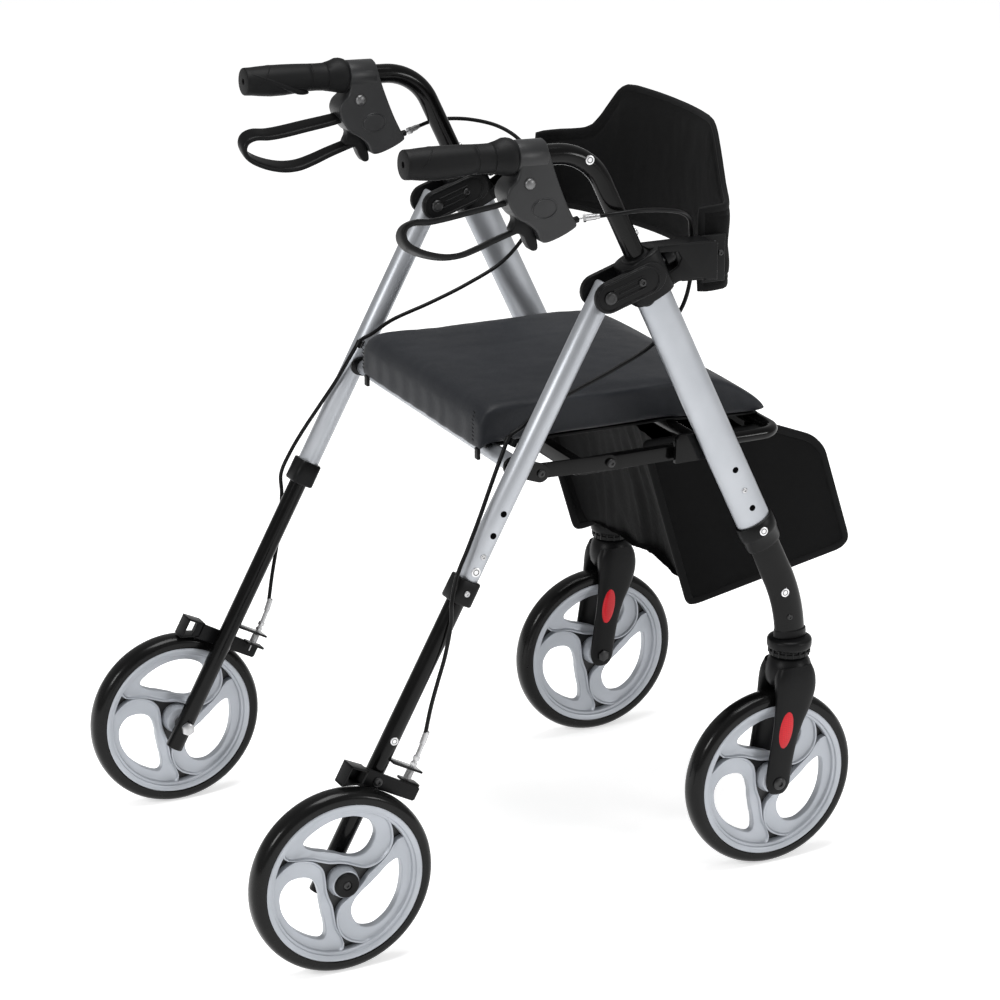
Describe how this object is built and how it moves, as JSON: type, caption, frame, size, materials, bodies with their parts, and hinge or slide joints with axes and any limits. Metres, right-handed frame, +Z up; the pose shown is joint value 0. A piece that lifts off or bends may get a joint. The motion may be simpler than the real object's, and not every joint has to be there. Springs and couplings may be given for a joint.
{
  "type": "rollator walker",
  "caption": "Four-wheeled folding rollator walker with swivelling front wheels, hand brakes with looped levers, lift-up padded seat, under-seat bag and bowed backrest band.",
  "frame": {"origin": "the middle of the bounding box in X and Y, on the floor", "axes": "+X the walker's right, +Y the way it travels, +Z up"},
  "size_m": [0.533, 0.7976, 0.8878],
  "materials": {
    "silver": "satin anodised tube",
    "gloss_black": "glossy black paint",
    "plastic": "satin moulded black",
    "rim": "silver-grey moulded",
    "tyre": "smooth black",
    "steel": "zinc plated",
    "grip": "soft black",
    "cable": "black cable housing",
    "leatherette": "charcoal grained leatherette over foam",
    "fabric": "woven black fabric, bound edges"
  },
  "bodies": {
    "front_frame": {"front_leg_R": "silver", "front_leg_collar_R": "plastic", "front_lower_leg_R": "gloss_black", "caster_cup_R": "plastic", "top_bracket_R": "plastic", "fold_bolt_R": "steel", "backrest_arm_R": "plastic", "brake_cable_R": "cable", "front_leg_L": "silver", "front_leg_collar_L": "plastic", "front_lower_leg_L": "gloss_black", "caster_cup_L": "plastic", "top_bracket_L": "plastic", "fold_bolt_L": "steel", "backrest_arm_L": "plastic", "brake_cable_L": "cable", "front_cross_tube": "silver", "bag_bar": "gloss_black", "bag": "fabric", "backrest": "fabric"},
    "rear_frame": {"rear_leg_R": "silver", "rear_leg_collar_R": "plastic", "rear_lower_tube_R": "gloss_black", "rear_axle_R": "steel", "brake_spring_R": "steel", "rear_leg_L": "silver", "rear_leg_collar_L": "plastic", "rear_lower_tube_L": "gloss_black", "rear_axle_L": "steel", "brake_spring_L": "steel", "rear_cross_tube": "silver"},
    "seat": {"seat": "leatherette"},
    "seat_frame": {"seat_frame": "gloss_black"},
    "fold_link_R": {"fold_link_R": "gloss_black"},
    "rear_wheel_R": {"rear_rim_R": "rim", "rear_tyre_R": "tyre"},
    "caster_R": {"caster_fork_R": "plastic", "front_axle_R": "steel"},
    "front_wheel_R": {"front_rim_R": "rim", "front_tyre_R": "tyre"},
    "handle_R": {"handle_tube_R": "gloss_black", "grip_R": "grip", "brake_housing_R": "plastic"},
    "brake_lever_R": {"brake_lever_R": "plastic"},
    "brake_arm_R": {"brake_arm_R": "plastic"},
    "height_lock_R": {"height_lock_R": "plastic"},
    "fold_link_L": {"fold_link_L": "gloss_black"},
    "rear_wheel_L": {"rear_rim_L": "rim", "rear_tyre_L": "tyre"},
    "caster_L": {"caster_fork_L": "plastic", "front_axle_L": "steel"},
    "front_wheel_L": {"front_rim_L": "rim", "front_tyre_L": "tyre"},
    "handle_L": {"handle_tube_L": "gloss_black", "grip_L": "grip", "brake_housing_L": "plastic"},
    "brake_lever_L": {"brake_lever_L": "plastic"},
    "brake_arm_L": {"brake_arm_L": "plastic"},
    "height_lock_L": {"height_lock_L": "plastic"}
  },
  "joints": [
    {"name": "rear_fold", "type": "hinge", "parent": "front_frame", "child": "rear_frame", "pos_m": [0, 0.03379, 0.706], "axis": [1, 0, 0], "range_deg": [0, 28], "deforming": ["brake_cable_R", "brake_cable_L"]},
    {"name": "seat_flip", "type": "hinge", "parent": "front_frame", "child": "seat", "pos_m": [0, 0.26879, 0.512], "axis": [1, 0, 0], "range_deg": [-35, 0]},
    {"name": "seat_frame_fold", "type": "hinge", "parent": "front_frame", "child": "seat_frame", "pos_m": [0, 0.14179, 0.505], "axis": [1, 0, 0], "range_deg": [-61.6, 0]},
    {"name": "link_fold_R", "type": "hinge", "parent": "rear_frame", "child": "fold_link_R", "pos_m": [0.1947, -0.03213, 0.51099], "axis": [1, 0, 0], "range_deg": [0, 38.1]},
    {"name": "rear_wheel_spin_R", "type": "hinge", "parent": "rear_frame", "child": "rear_wheel_R", "pos_m": [0.246, -0.29321, 0.105], "axis": [1, 0, 0], "continuous": true},
    {"name": "caster_swivel_R", "type": "hinge", "parent": "front_frame", "child": "caster_R", "pos_m": [0.215, 0.27779, 0.252], "axis": [0, 0, 1], "continuous": true},
    {"name": "front_wheel_spin_R", "type": "hinge", "parent": "caster_R", "child": "front_wheel_R", "pos_m": [0.215, 0.25379, 0.105], "axis": [1, 0, 0], "continuous": true},
    {"name": "handle_slide_R", "type": "slide", "parent": "front_frame", "child": "handle_R", "axis": [0, -0.4292, 0.9032], "range_m": [-0.035, 0.06], "deforming": ["brake_cable_R"]},
    {"name": "lever_squeeze_R", "type": "hinge", "parent": "handle_R", "child": "brake_lever_R", "pos_m": [0.215, -0.05821, 0.838], "axis": [1, 0, 0], "range_deg": [-14, 0], "stiffness_Nm_per_rad": 1.5, "springref_deg": 5.73},
    {"name": "brake_arm_turn_R", "type": "hinge", "parent": "rear_frame", "child": "brake_arm_R", "pos_m": [0.2285, -0.24078, 0.20136], "axis": [1, 0, 0], "range_deg": [0, 2.8], "deforming": ["brake_spring_R"]},
    {"name": "height_lock_pull_R", "type": "slide", "parent": "front_frame", "child": "height_lock_R", "axis": [0, 0.9032, 0.4292], "range_m": [0, 0.006], "stiffness_N_per_m": 600, "springref_m": -0.004},
    {"name": "link_fold_L", "type": "hinge", "parent": "rear_frame", "child": "fold_link_L", "pos_m": [-0.1947, -0.03213, 0.51099], "axis": [1, 0, 0], "range_deg": [0, 38.1]},
    {"name": "rear_wheel_spin_L", "type": "hinge", "parent": "rear_frame", "child": "rear_wheel_L", "pos_m": [-0.246, -0.29321, 0.105], "axis": [1, 0, 0], "continuous": true},
    {"name": "caster_swivel_L", "type": "hinge", "parent": "front_frame", "child": "caster_L", "pos_m": [-0.215, 0.27779, 0.252], "axis": [0, 0, 1], "continuous": true},
    {"name": "front_wheel_spin_L", "type": "hinge", "parent": "caster_L", "child": "front_wheel_L", "pos_m": [-0.215, 0.25379, 0.105], "axis": [1, 0, 0], "continuous": true},
    {"name": "handle_slide_L", "type": "slide", "parent": "front_frame", "child": "handle_L", "axis": [0, -0.4292, 0.9032], "range_m": [-0.035, 0.06], "deforming": ["brake_cable_L"]},
    {"name": "lever_squeeze_L", "type": "hinge", "parent": "handle_L", "child": "brake_lever_L", "pos_m": [-0.215, -0.05821, 0.838], "axis": [1, 0, 0], "range_deg": [-14, 0], "stiffness_Nm_per_rad": 1.5, "springref_deg": 5.73},
    {"name": "brake_arm_turn_L", "type": "hinge", "parent": "rear_frame", "child": "brake_arm_L", "pos_m": [-0.2285, -0.24078, 0.20136], "axis": [1, 0, 0], "range_deg": [0, 2.8], "deforming": ["brake_spring_L"]},
    {"name": "height_lock_pull_L", "type": "slide", "parent": "front_frame", "child": "height_lock_L", "axis": [0, 0.9032, 0.4292], "range_m": [0, 0.006], "stiffness_N_per_m": 600, "springref_m": -0.004}
  ],
  "couplings": [
    {"joint": "seat_flip", "follows": "rear_fold", "ratio": -1.25},
    {"joint": "seat_frame_fold", "follows": "rear_fold", "ratio": -2.2},
    {"joint": "link_fold_R", "follows": "rear_fold", "ratio": 1.36},
    {"joint": "brake_arm_turn_R", "follows": "lever_squeeze_R", "ratio": -0.2},
    {"joint": "link_fold_L", "follows": "rear_fold", "ratio": 1.36},
    {"joint": "brake_arm_turn_L", "follows": "lever_squeeze_L", "ratio": -0.2}
  ]
}
